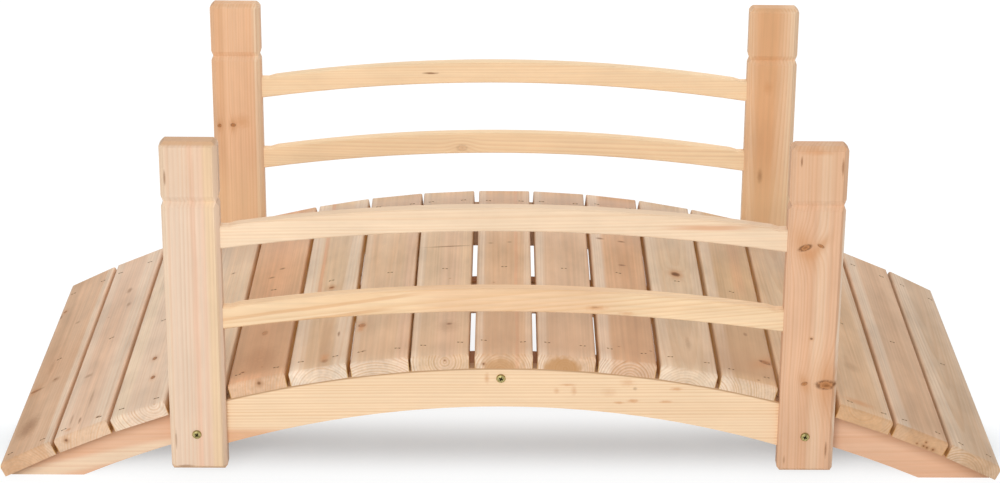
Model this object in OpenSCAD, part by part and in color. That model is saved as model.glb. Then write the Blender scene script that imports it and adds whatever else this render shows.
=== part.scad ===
// Small arched garden footbridge in softwood.
// Planks lie across arched beams. Grooved posts stand on the beams' faces, each in the place of a
// plank's end, and sawn curved rails are tenoned into them.
// Millimetres, +X along the way over the bridge, +Z up, origin on the ground under the crown.

/* [Deck] */
// Length of each deck plank, across the bridge
plank_length = 710; // [560:5:900]
// Width of each deck plank, along the bridge
plank_width = 86.5; // [76:0.5:94]
// Thickness of each deck plank
plank_thickness = 22; // [16:0.5:26]
// Open gap between neighbouring planks, where they lie evenly
plank_gap = 6.3; // [4:0.1:12]
// Rounding along the long top edges of the planks
plank_round = 4; // [1:0.5:6]
// Rounding of the outer top edge of the first and the last plank
nose_round = 8; // [2:0.5:12]
// Rounding across the ends of the planks
plank_end_round = 6; // [1:0.5:8]
// How far the plank left of the middle one was laid to the left of its even place
left_slip = 2.5; // [0:0.1:3]
// How far the plank right of the middle one was laid to the right of its even place
right_slip = 1.2; // [0:0.1:3]
// Radius of the walking surface
deck_radius = 1645; // [1500:5:1900]
// Height of the end planks' lowest edge over the ground
toe_height = 6; // [3:0.5:12]

/* [Beams] */
// Thickness of the two side beams
beam_thickness = 45; // [30:1:60]
// Thickness of the beam under the middle of the planks
centre_beam_thickness = 22; // [16:1:45]
// Depth of the beams at the crown
beam_depth = 55; // [40:1:64]
// Length of the flat foot at each end of a beam
foot_length = 109; // [80:1:140]
// Distance from the lowest plank edge back to the beam's end
beam_inset = 5; // [3:1:18]

/* [Arch boards] */
// Thickness of the boards that face the side beams
board_thickness = 20; // [14:1:30]
// Depth of the boards at the crown
board_depth = 62; // [50:1:75]
// Radius of the boards' lower edge
board_radius = 1400; // [1250:10:1600]

/* [Posts] */
// Gap between a post and the planks on both sides of it
post_side_gap = 2.25; // [2:0.25:8]
// Gap between a post and the end of the short plank behind it
post_end_gap = 2; // [1:0.5:6]
// Depth of a post, across the bridge
post_depth = 35; // [32:0.5:50]
// Height of a post over the deck beside it
post_above_deck = 398; // [330:1:480]
// Length of a post below the deck beside it
post_below_deck = 118; // [85:1:130]
// Chamfer along the upright edges of a post
post_edge = 7; // [2:0.5:9]
// Chamfer round the top of a post
post_chamfer = 7; // [2:0.5:9]
// Bevel round the bottom of a post
post_foot_bevel = 4; // [1:0.5:6]
// Height of the V-groove's mouth
groove_height = 16.5; // [8:0.5:20]
// Depth of the V-groove
groove_depth = 4; // [2:0.5:6]
// Distance from a post's top down to the middle of its groove
groove_drop = 90.5; // [60:0.5:105]

/* [Rails] */
// Thickness of a rail
rail_thickness = 20; // [14:0.5:22]
// Height of a rail at mid span
rail_mid_height = 36.5; // [28:0.5:42]
// Height of a rail where it enters a post
rail_end_height = 34.5; // [24:0.5:40]
// Rise of a rail's top edge from its ends to mid span
rail_rise = 32; // [20:0.5:50]
// Straight top edge beside each post
rail_flat = 12; // [5:1:30]
// Drop from the sweep of the top edge to that straight part
rail_ease = 2; // [0.5:0.5:5]
// Slope of the short curve between the two, in degrees
rail_ease_slope = 18; // [14:1:30]
// Bevel along the edges of a rail
rail_bevel = 2; // [0.5:0.5:4]
// Distance from a post's top down to the upper rail's end
rail_drop = 131; // [115:0.5:150]
// Distance from the upper rail down to the lower rail
rail_spacing = 126.5; // [90:0.5:140]
// Length of the tenon inside a post
tenon_length = 25; // [15:1:35]
// Play left round a tenon in its mortise
mortise_play = 0.25; // [0.1:0.05:0.6]

/* [Hidden] */
// Smoothness of the long arcs
$fn = 720;
plank_count = 17;
middle_plank = (plank_count + 1) / 2;
function plank_name(i) = str("plank_", i < 10 ? "0" : "", i);

// Angle from one plank to the next, and the deck's own circle
plank_step = (plank_width + plank_gap) / deck_radius * 180 / PI;
end_angle = (middle_plank - 1) * plank_step;
under_radius = deck_radius - plank_thickness;
deck_centre = toe_height + plank_width / 2 * sin(end_angle) - under_radius * cos(end_angle);
crown = deck_centre + deck_radius;
plank_under = crown - plank_thickness;

// Beams: where they end, where the feet start, and the arc between the feet
beam_end = under_radius * sin(end_angle) + plank_width / 2 * cos(end_angle) - beam_inset;
foot_start = beam_end - foot_length;
beam_rise = plank_under - beam_depth;
beam_arch_radius = (foot_start * foot_start + beam_rise * beam_rise) / (2 * beam_rise);
side = plank_length / 2;
beam_face = side - board_thickness;

// Posts: each stands where a plank's end is left off, between the two neighbours of that plank
post_steps = 5;
slot_inner = deck_radius * sin((post_steps - 1) * plank_step)
    + plank_width / 2 * cos((post_steps - 1) * plank_step);
slot_outer = under_radius * sin((post_steps + 1) * plank_step)
    - plank_width / 2 * cos((post_steps + 1) * plank_step);
post_x = (slot_inner + slot_outer) / 2;
post_width = slot_outer - slot_inner - 2 * post_side_gap;
short_plank_length = 2 * (beam_face - post_end_gap);
deck_at_post = deck_centre + sqrt(deck_radius * deck_radius - post_x * post_x);
post_top = deck_at_post + post_above_deck;
post_bottom = deck_at_post - post_below_deck;
post_y = beam_face + post_depth / 2;
board_end = post_x - post_width / 2;

// Rails: half the clear span, then the circles of the two sawn edges and of the eased ends
rail_half = post_x - post_width / 2;
rail_top_half = rail_half - rail_flat;
rail_sweep = rail_rise - rail_ease;
rail_top_radius = (rail_top_half * rail_top_half + rail_sweep * rail_sweep) / (2 * rail_sweep);
rail_ease_radius = rail_top_half / sin(rail_ease_slope);
rail_sag = rail_rise + rail_end_height - rail_mid_height;
rail_under_radius = (rail_half * rail_half + rail_sag * rail_sag) / (2 * rail_sag);
upper_rail_z = post_top - rail_drop - rail_end_height;
lower_rail_z = upper_rail_z - rail_spacing;

// A board's section: flat below, with its two top corners rounded
module eased_section(width, height, left, right) {
    square_corner = max(left, right);
    translate([-width / 2, 0]) square([width, height - square_corner]);
    translate([-width / 2 + left, 0]) square([width - left - right, height]);
    for (s = [-1, 1]) {
        round = s < 0 ? left : right;
        translate([s < 0 ? -width / 2 : 0, 0]) square([width / 2, height - round]);
        translate([s * (width / 2 - round), height - round]) circle(r = round, $fn = 48);
    }
}

// A bar's section with its four corners bevelled
module bevelled_section(width, height, bevel) {
    x = width / 2;
    y = height / 2;
    polygon([
        [-x + bevel, -y], [x - bevel, -y], [x, -y + bevel], [x, y - bevel],
        [x - bevel, y], [-x + bevel, y], [-x, y - bevel], [-x, -y + bevel]
    ]);
}

// Stands a drawing of the side view upright, centred on the given distance across
module across(thickness, y = 0) {
    translate([0, y + thickness / 2, 0]) rotate([90, 0, 0]) linear_extrude(thickness) children();
}

// The undersides of all the planks as one line of flats, filled down to the ground
module under_planks() {
    corner = under_radius / cos(plank_step / 2);
    flats = [for (k = [-middle_plank : middle_plank - 1]) (k + 0.5) * plank_step];
    line = [for (a = flats) [corner * sin(a), deck_centre + corner * cos(a)]];
    intersection() {
        polygon(concat(line, [[beam_end * 2, -crown], [-beam_end * 2, -crown]]));
        translate([-beam_end, 0]) square([2 * beam_end, crown]);
    }
}

module plank(i) {
    turn = (i - middle_plank) * plank_step;
    shade = ["#cfae8d", "#c9a684", "#d3b392"][i % 3];
    behind_post = abs(i - middle_plank) == post_steps;
    length = behind_post ? short_plank_length : plank_length;
    left = i == 1 ? nose_round : plank_round;
    right = i == plank_count ? nose_round : plank_round;
    slip = i == middle_plank - 1 ? -left_slip : i == middle_plank + 1 ? right_slip : 0;
    color(shade) translate([0, 0, deck_centre]) rotate([0, turn, 0]) translate([slip, 0, under_radius])
        intersection() {
            across(length) eased_section(plank_width, plank_thickness, left, right);
            rotate([0, 0, 90]) across(plank_width + 2)
                eased_section(length, plank_thickness, plank_end_round, plank_end_round);
        }
}

// Arched beam with a flat foot at each end
module beam(thickness, y) {
    color("#ddb48d") across(thickness, y) difference() {
        under_planks();
        translate([0, beam_rise - beam_arch_radius]) circle(r = beam_arch_radius);
    }
}

// Facing board between the posts, flush with the plank ends
module arch_board(y) {
    color("#eccb9c") across(board_thickness, y) difference() {
        intersection() {
            under_planks();
            translate([-board_end, 0]) square([2 * board_end, crown]);
        }
        translate([0, plank_under - board_depth - board_radius]) circle(r = board_radius);
    }
}

// A post's outline from one side: bevelled foot, V-groove and chamfered top
module post_outline(width) {
    half = [
        [width / 2 - post_foot_bevel, post_bottom],
        [width / 2, post_bottom + post_foot_bevel],
        [width / 2, post_top - groove_drop - groove_height / 2],
        [width / 2 - groove_depth, post_top - groove_drop],
        [width / 2, post_top - groove_drop + groove_height / 2],
        [width / 2, post_top - post_chamfer],
        [width / 2 - post_chamfer, post_top]
    ];
    mirrored = [for (k = [len(half) - 1 : -1 : 0]) [-half[k][0], half[k][1]]];
    polygon(concat(half, mirrored));
}

// Socket for a rail's tenon, open on the side that faces the other post
module mortise(z) {
    deep = tenon_length + 2 * mortise_play;
    translate([-post_width / 2 - 1, -rail_thickness / 2 - mortise_play, z])
        cube([deep + 1, rail_thickness + 2 * mortise_play, rail_end_height + mortise_play]);
}

module post(side_x, side_y, shade) {
    color(shade) translate([side_x * post_x, side_y * post_y, 0]) mirror([side_x < 0 ? 1 : 0, 0, 0])
        difference() {
            intersection() {
                translate([0, 0, post_bottom]) linear_extrude(post_top - post_bottom)
                    bevelled_section(post_width, post_depth, post_edge);
                across(post_depth + 2) post_outline(post_width);
                rotate([0, 0, 90]) across(post_width + 2) post_outline(post_depth);
            }
            mortise(upper_rail_z);
            mortise(lower_rail_z);
        }
}

// Large disc, standing across the bridge, whose rim turns in or flares out towards both faces
module rail_disc(radius, half, rim) {
    flat = half - abs(rim);
    rotate([90, 0, 0]) rotate_extrude() polygon([
        [0, -half], [radius + rim, -half], [radius, -flat],
        [radius, flat], [radius + rim, half], [0, half]
    ]);
}

// Sawn rail: curved above and below, eased to straight ends where it enters the posts
module rail(side_y, z) {
    tenon_half = rail_half + tenon_length;
    color("#f0d3a4") translate([0, side_y * post_y, z]) difference() {
        union() {
            translate([-tenon_half, 0, rail_end_height / 2]) rotate([90, 0, 90])
                linear_extrude(2 * tenon_half)
                    bevelled_section(rail_thickness, rail_end_height, rail_bevel);
            intersection() {
                translate([0, 0, rail_end_height + rail_rise - rail_top_radius])
                    rail_disc(rail_top_radius, rail_thickness / 2, -rail_bevel);
                translate([0, 0, rail_end_height - rail_ease_radius * cos(rail_ease_slope)])
                    rail_disc(rail_ease_radius, rail_thickness / 2, -rail_bevel);
                translate([-rail_half, -rail_thickness, rail_end_height / 2])
                    cube([2 * rail_half, 2 * rail_thickness, rail_rise + rail_end_height]);
            }
        }
        translate([0, 0, rail_sag - rail_under_radius])
            rail_disc(rail_under_radius, rail_thickness / 2 + 1, rail_bevel + 1);
    }
}

module front_beam() { beam(beam_thickness, beam_thickness / 2 - beam_face); }
module back_beam() { beam(beam_thickness, beam_face - beam_thickness / 2); }
module centre_beam() { beam(centre_beam_thickness, 0); }
module front_arch_board() { arch_board(board_thickness / 2 - side); }
module back_arch_board() { arch_board(side - board_thickness / 2); }
module front_left_post() { post(-1, -1, "#e8ccb2"); }
module front_right_post() { post(1, -1, "#dcb28c"); }
module back_left_post() { post(-1, 1, "#deaf83"); }
module back_right_post() { post(1, 1, "#d49e6c"); }
module front_upper_rail() { rail(-1, upper_rail_z); }
module front_lower_rail() { rail(-1, lower_rail_z); }
module back_upper_rail() { rail(1, upper_rail_z); }
module back_lower_rail() { rail(1, lower_rail_z); }

for (i = [1 : plank_count]) plank(i);
front_beam();
back_beam();
centre_beam();
front_arch_board();
back_arch_board();
front_left_post();
front_right_post();
back_left_post();
back_right_post();
front_upper_rail();
front_lower_rail();
back_upper_rail();
back_lower_rail();
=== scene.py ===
"""Looks of a small arched garden footbridge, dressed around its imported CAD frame.

Every board is shaded as if it were sawn from its own log: growth rings round a pith line, broad bands
and fine streaks along the grain, knots that push the rings aside. Staples and screws are modelled at
their real size.
"""

import logging
import math
import random
from dataclasses import dataclass, field
from enum import Enum
from typing import Any, NamedTuple, Union

import bmesh
import bpy
from mathutils import Matrix, Vector

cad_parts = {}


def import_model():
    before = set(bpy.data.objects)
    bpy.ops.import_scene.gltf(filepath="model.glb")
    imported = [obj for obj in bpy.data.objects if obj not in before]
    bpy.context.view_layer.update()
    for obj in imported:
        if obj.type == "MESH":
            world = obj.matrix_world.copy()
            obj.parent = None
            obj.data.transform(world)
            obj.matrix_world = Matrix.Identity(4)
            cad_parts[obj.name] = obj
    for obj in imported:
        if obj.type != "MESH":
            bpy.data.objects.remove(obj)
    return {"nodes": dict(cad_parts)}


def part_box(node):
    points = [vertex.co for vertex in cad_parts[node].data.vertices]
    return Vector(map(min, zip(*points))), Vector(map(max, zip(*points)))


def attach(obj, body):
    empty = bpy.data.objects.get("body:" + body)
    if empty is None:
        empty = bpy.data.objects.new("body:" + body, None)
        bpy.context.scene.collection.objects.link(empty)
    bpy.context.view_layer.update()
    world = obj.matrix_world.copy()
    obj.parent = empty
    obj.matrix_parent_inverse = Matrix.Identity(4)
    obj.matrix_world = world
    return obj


LOG = logging.getLogger("footbridge")
BODY = "root"
MM = 0.001

# Past the end of every board, in millimetres.
BEYOND = 2000.0

Colour = tuple[float, float, float]
Number = Union[float, "Wire"]


def srgb(code: str) -> Colour:
    """Turn a hex colour into linear light.

    Args:
        code: Six hex digits after a hash sign.

    Returns:
        Red, green and blue in linear light, from 0 to 1.
    """
    parts = [int(code[k : k + 2], 16) / 255 for k in (1, 3, 5)]
    linear = [p / 12.92 if p <= 0.04045 else ((p + 0.055) / 1.055) ** 2.4 for p in parts]
    return linear[0], linear[1], linear[2]


def tinted(colour: Colour, factors: Colour) -> Colour:
    """Multiply a colour channel by channel."""
    return colour[0] * factors[0], colour[1] * factors[1], colour[2] * factors[2]


class Wire:
    """A shader socket that takes part in Python arithmetic."""

    def __init__(self, graph: "Graph", socket: bpy.types.NodeSocket) -> None:
        """Keep the socket and the graph that it belongs to."""
        self.graph = graph
        self.socket = socket

    def _math(self, operation: str, left: Number, right: Number) -> "Wire":
        """Add one Math node and return its result."""
        return self.graph.node("ShaderNodeMath", {"operation": operation}, {0: left, 1: right})

    def __add__(self, other: Number) -> "Wire":
        """Sum of two values."""
        return self._math("ADD", self, other)

    def __radd__(self, other: Number) -> "Wire":
        """Sum with a plain number first."""
        return self._math("ADD", other, self)

    def __sub__(self, other: Number) -> "Wire":
        """Difference of two values."""
        return self._math("SUBTRACT", self, other)

    def __rsub__(self, other: Number) -> "Wire":
        """Difference with a plain number first."""
        return self._math("SUBTRACT", other, self)

    def __mul__(self, other: Number) -> "Wire":
        """Product of two values."""
        return self._math("MULTIPLY", self, other)

    def __rmul__(self, other: Number) -> "Wire":
        """Product with a plain number first."""
        return self._math("MULTIPLY", other, self)

    def __truediv__(self, other: Number) -> "Wire":
        """Quotient of two values."""
        return self._math("DIVIDE", self, other)

    def __rtruediv__(self, other: Number) -> "Wire":
        """Quotient with a plain number first."""
        return self._math("DIVIDE", other, self)

    def __pow__(self, other: Number) -> "Wire":
        """Power of a value."""
        return self._math("POWER", self, other)

    def __neg__(self) -> "Wire":
        """Opposite value."""
        return self._math("MULTIPLY", self, -1.0)

    def __abs__(self) -> "Wire":
        """Absolute value."""
        return self._math("ABSOLUTE", self, 0.0)

    def floor(self) -> "Wire":
        """Whole part of a value."""
        return self._math("FLOOR", self, 0.0)

    def exp(self) -> "Wire":
        """Natural exponential of a value."""
        return self._math("EXPONENT", self, 0.0)

    def sine(self) -> "Wire":
        """Sine of an angle in radians."""
        return self._math("SINE", self, 0.0)

    def rise(self, low: float, high: float) -> "Wire":
        """Smooth step from 0 at low to 1 at high.

        Args:
            low: Value at which the step starts.
            high: Value at which the step ends.

        Returns:
            The step, from 0 to 1.
        """
        settings = {"interpolation_type": "SMOOTHSTEP"}
        return self.graph.node("ShaderNodeMapRange", settings, {"Value": self, 1: low, 2: high}, "Result")

    def fall(self, low: float, high: float) -> "Wire":
        """Smooth step from 1 at low to 0 at high."""
        return 1.0 - self.rise(low, high)

    def ramp(self, start: float, end: float) -> "Wire":
        """Smooth step from 0 at start to 1 at end, whichever is larger."""
        return self.rise(start, end) if start < end else self.fall(end, start)


class Graph:
    """One material's node tree, filled by method calls."""

    def __init__(self, name: str) -> None:
        """Start an empty material.

        Args:
            name: Name of the material.
        """
        self.material = bpy.data.materials.new(name)
        self.material.use_nodes = True
        self.tree = self.material.node_tree
        self.tree.nodes.clear()

    def node(
        self,
        kind: str,
        settings: dict[str, Any],
        inputs: dict[Union[int, str], Any],
        output: Union[int, str] = 0,
    ) -> Wire:
        """Add one node.

        Args:
            kind: Blender's name for the node's type.
            settings: Properties of the node, which are set first.
            inputs: Values or wires, by socket name or number.
            output: Name or number of the socket to return.

        Returns:
            The chosen output.
        """
        made = self.tree.nodes.new(kind)
        for key, value in settings.items():
            setattr(made, key, value)
        for key, value in inputs.items():
            socket = made.inputs[key]
            if isinstance(value, Wire):
                self.tree.links.new(value.socket, socket)
            elif isinstance(value, tuple) and socket.type == "RGBA":
                socket.default_value = (*value, 1.0)
            else:
                socket.default_value = value
        return Wire(self, made.outputs[output])

    def place(self) -> Wire:
        """Where the shaded point lies in the bridge's frame, in metres."""
        return self.node("ShaderNodeTexCoord", {}, {}, "Object")

    def point(self, x: Number, y: Number, z: Number) -> Wire:
        """Join three values into a vector."""
        return self.node("ShaderNodeCombineXYZ", {}, {0: x, 1: y, 2: z})

    def split(self, vector: Wire) -> tuple[Wire, Wire, Wire]:
        """Take a vector apart.

        Args:
            vector: The vector.

        Returns:
            Its three values.
        """
        first = self.node("ShaderNodeSeparateXYZ", {}, {0: vector})
        outputs = first.socket.node.outputs
        return first, Wire(self, outputs[1]), Wire(self, outputs[2])

    def noise(self, vector: Wire, seed: float, detail: float = 2.0, output: str = "Fac") -> Wire:
        """Add a noise texture.

        Args:
            vector: Where the noise is read.
            seed: Offset that gives each board its own noise.
            detail: Octaves of the noise.
            output: Fac for a value, Color for three.

        Returns:
            The noise, about 0.5 on average.
        """
        settings = {"noise_dimensions": "4D"}
        inputs = {"Vector": vector, "W": seed, "Scale": 1.0, "Detail": detail, "Roughness": 0.55}
        return self.node("ShaderNodeTexNoise", settings, inputs, output)

    def mix(self, share: Number, first: Union[Colour, Wire], second: Union[Colour, Wire]) -> Wire:
        """Blend two colours by a share from 0 to 1."""
        settings = {"data_type": "RGBA", "clamp_factor": True}
        return self.node("ShaderNodeMix", settings, {0: share, 6: first, 7: second}, 2)

    def scale(self, colour: Wire, amount: Number) -> Wire:
        """Multiply a colour or a vector by a value."""
        settings = {"operation": "SCALE"}
        return self.node("ShaderNodeVectorMath", settings, {"Vector": colour, "Scale": amount}, "Vector")

    def bump(self, height: Wire, distance: float, strength: float) -> Wire:
        """Turn a height in the range 0 to 1 into a surface normal."""
        inputs = {"Height": height, "Distance": distance, "Strength": strength}
        return self.node("ShaderNodeBump", {}, inputs, "Normal")

    def surface(self, shader: Wire) -> bpy.types.Material:
        """Close the material.

        Args:
            shader: What its surface shows.

        Returns:
            The material.
        """
        made = self.tree.nodes.new("ShaderNodeOutputMaterial")
        self.tree.links.new(shader.socket, made.inputs["Surface"])
        return self.material


class Grain(Enum):
    """Which way a board's grain, width and thickness run, as places in X, Y and Z."""

    ALONG_X = (0, 2, 1)
    ALONG_Y = (1, 0, 2)
    ALONG_Z = (2, 0, 1)


class Place(NamedTuple):
    """A point of a board in metres: along the grain, across the face and through the thickness."""

    along: Wire
    across: Wire
    deep: Wire


@dataclass(frozen=True)
class NoiseLayer:
    """Noise of one size in a board's wood, in waves per metre."""

    along: float
    across: float
    deep: float
    offset: float
    detail: float

    def read(self, g: Graph, at: Place, seed: float, output: str = "Fac") -> Wire:
        """Read the noise at a point.

        Args:
            g: The material being filled.
            at: The point.
            seed: The board's own seed.
            output: Fac for a value, Color for three.

        Returns:
            The noise, about 0.5 on average.
        """
        spot = g.point(at.along * self.along, at.across * self.across, at.deep * self.deep)
        return g.noise(spot, seed + self.offset, self.detail, output)


BEND = NoiseLayer(1.9, 5.0, 5.0, 0.0, 1.5)
BLOTCH = NoiseLayer(9.0, 22.0, 22.0, 3.0, 3.0)
BAND = NoiseLayer(0.9, 42.0, 42.0, 5.0, 1.5)
STREAK = NoiseLayer(1.8, 190.0, 190.0, 11.0, 3.0)
FIBRE = NoiseLayer(24.0, 1200.0, 1200.0, 19.0, 2.0)
FRAY = NoiseLayer(170.0, 170.0, 60.0, 29.0, 2.0)


class MarkKind(Enum):
    """What a mark on a board is."""

    KNOT = "knot"
    PIN_KNOT = "pin knot"
    SMUDGE = "smudge"
    RESIN = "resin"
    END_SPOT = "spot on the near end"
    END_HEART = "heartwood on the near end"


@dataclass(frozen=True)
class Mark:
    """A knot or a stain, in millimetres from the middle of the board's face.

    Stretch draws it out along the grain, and tilt turns it, in radians. On a sawn end, along is the depth
    below the face and stretch works across.
    """

    along: float
    across: float
    radius: float
    kind: MarkKind = MarkKind.KNOT
    stretch: float = 1.0
    depth: float = 1.0
    tilt: float = 0.0


def knot(
    along: float, across: float, radius: float, stretch: float = 1.0, depth: float = 1.0, tilt: float = 0.0
) -> Mark:
    """A knot with rings."""
    return Mark(along, across, radius, MarkKind.KNOT, stretch, depth, tilt)


def pin(along: float, across: float, radius: float = 2.2, depth: float = 0.8) -> Mark:
    """A pin knot."""
    return Mark(along, across, radius, MarkKind.PIN_KNOT, 0.8, depth)


def smudge(along: float, across: float, radius: float, stretch: float = 2.0, depth: float = 0.6) -> Mark:
    """A soft brown stain."""
    return Mark(along, across, radius, MarkKind.SMUDGE, stretch, depth)


def stain(along: float, across: float, radius: float, stretch: float = 1.0, depth: float = 1.0) -> Mark:
    """A warm stain of resin."""
    return Mark(along, across, radius, MarkKind.RESIN, stretch, depth)


def spot(deep: float, across: float, radius: float, depth: float = 0.9) -> Mark:
    """A small knot on the near sawn end."""
    return Mark(-deep, across, radius, MarkKind.END_SPOT, 1.0, depth)


def heart(deep: float, across: float, radius: float, stretch: float, depth: float = 1.0) -> Mark:
    """Dark heartwood on the near sawn end."""
    return Mark(-deep, across, radius, MarkKind.END_HEART, stretch, depth)


@dataclass(frozen=True)
class Stripe:
    """A lengthwise band of another colour, in millimetres: pale sapwood, or a streak of heartwood."""

    across: float
    half_width: float
    colour: Colour
    share: float = 0.6
    drift: float = 0.0
    taper: float = 0.0
    start: float = -BEYOND
    end: float = BEYOND
    waver: float = 7.0
    blend: float = 40.0


@dataclass(frozen=True)
class Tint:
    """Another tone over part of a board."""

    colour: Colour
    share: float

    def reach(self, at: Place) -> Wire:
        """How much of the tone a point takes.

        Args:
            at: The point.

        Returns:
            The share of the tone, from 0 to 1.
        """
        raise NotImplementedError


@dataclass(frozen=True)
class Fade(Tint):
    """A tone under the marks that grows along the grain, from start to end, in millimetres."""

    start: float
    end: float
    limit: float = BEYOND
    blend: float = 34.0

    def reach(self, at: Place) -> Wire:
        """Grow along the grain and stop short of the limit."""
        inside = abs(at.along).fall((self.limit - self.blend) * MM, self.limit * MM)
        return inside * at.along.ramp(self.start * MM, self.end * MM)


@dataclass(frozen=True)
class GapShade(Tint):
    """Painted shade on the gap walls beside a plank, with more of it the deeper they are, in millimetres.

    With a start, only the walls from that far out along the plank count.
    """

    half_width: float
    deep: float
    left: bool = True
    right: bool = True
    start: float = 0.0
    inside: float = 1.6
    outside: float = 0.3
    lip: float = 2.5
    blend: float = 26.0

    def reach(self, at: Place) -> Wire:
        """Grow downwards on the walls that face a gap.

        Args:
            at: The point.

        Returns:
            The share of the tone, from 0 to 1.
        """
        out = abs(at.across) if self.left and self.right else at.across if self.right else -at.across
        wall = out.rise((self.half_width - self.inside) * MM, (self.half_width - self.outside) * MM)
        wall = wall * at.deep.fall(-self.deep * MM, -self.lip * MM)
        if self.start:
            wall = wall * abs(at.along).rise(self.start * MM, (self.start + self.blend) * MM)
        return wall


@dataclass(frozen=True)
class UnderDeckShade(Tint):
    """Painted shadow along the arc under the planks: none at start, all at end, in millimetres below it."""

    arc: float
    lift: float
    start: float
    end: float

    def reach(self, at: Place) -> Wire:
        """Step with the depth below the arc.

        Args:
            at: The point.

        Returns:
            The share of the tone, from 0 to 1.
        """
        high = at.across + self.lift * MM
        depth = self.arc * MM - (at.along * at.along + high * high) ** 0.5
        return depth.ramp(self.start * MM, self.end * MM)


@dataclass(frozen=True)
class Cut:
    """How a board was sawn from its log: the pith's place in millimetres, its drift per metre, its wander."""

    pith_across: float
    pith_deep: float
    drift_across: float = 0.0
    drift_deep: float = 0.0
    wander: float = 8.0
    seed: float = 0.0


WARM_SHARES = (0.93, 0.86, 0.80)
LATE_SHARES = (0.84, 0.69, 0.54)


@dataclass(frozen=True)
class Timber:
    """Colours and ring sizes of one board's wood."""

    base: Colour
    ring: float = 4.2
    contrast: float = 0.3
    bands: float = 0.5
    streak: float = 0.22
    blotch: float = 0.16
    ends: float = 0.35
    end_tone: Colour = (0.8, 0.65, 0.5)
    end_share: float = 0.0
    fibre: float = 0.12
    roughness: float = 0.6
    sheen: float = 0.3
    relief: float = 0.5 * MM

    def warm(self) -> Colour:
        """The redder tone of the broad bands."""
        return tinted(self.base, WARM_SHARES)

    def late(self) -> Colour:
        """The tone of the dark part of each ring."""
        return tinted(self.base, LATE_SHARES)


@dataclass(frozen=True)
class BoardLook:
    """Wood of one board: its timber, how it was sawn and what shows on it."""

    timber: Timber
    cut: Cut
    stripes: tuple[Stripe, ...] = ()
    marks: tuple[Mark, ...] = ()
    tints: tuple[Tint, ...] = ()


@dataclass(frozen=True)
class Layer:
    """One tone of a mark: all of it as far as full, none of it from none, in shares of the mark's radius."""

    colour: Colour
    full: float
    none: float
    share: float


KNOT_CORE = srgb("#A66630")
KNOT_RIM = srgb("#643A10")
KNOT_HALO = srgb("#CB8C59")
PIN_KNOT = srgb("#643A0E")
MARK_LAYERS: dict[MarkKind, tuple[Layer, ...]] = {
    MarkKind.PIN_KNOT: (Layer(KNOT_HALO, 0.6, 2.8, 0.4), Layer(PIN_KNOT, 0.4, 1.2, 0.85)),
    MarkKind.SMUDGE: (Layer(srgb("#804A18"), 0.2, 1.2, 1.0),),
    MarkKind.RESIN: (Layer(srgb("#D18E58"), 0.0, 1.2, 0.6),),
    MarkKind.END_SPOT: (Layer(KNOT_CORE, 0.5, 2.2, 0.5), Layer(PIN_KNOT, 0.2, 0.9, 0.8)),
    MarkKind.END_HEART: (Layer(srgb("#C28E59"), 0.7, 1.15, 0.6),),
}


@dataclass(frozen=True)
class KnotFigure:
    """How a knot looks and pushes the rings aside, in shares of its radius."""

    tail_length: float = 3.2
    tail_narrowing: float = 0.45
    tail_share: float = 0.6
    rings: float = 13.0
    core_share: float = 0.8
    rim_share: float = 0.75
    heart_share: float = 0.55
    push: float = 1.1
    push_width: float = 2.6
    push_length: float = 1.4


@dataclass(frozen=True)
class RingFigure:
    """How uneven the growth rings of a log are, in rings, and how faint their summer wood can be."""

    wave: float = 5.0
    shift: float = 2.2
    offset: float = 7.0
    faintest: float = 0.3


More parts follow.
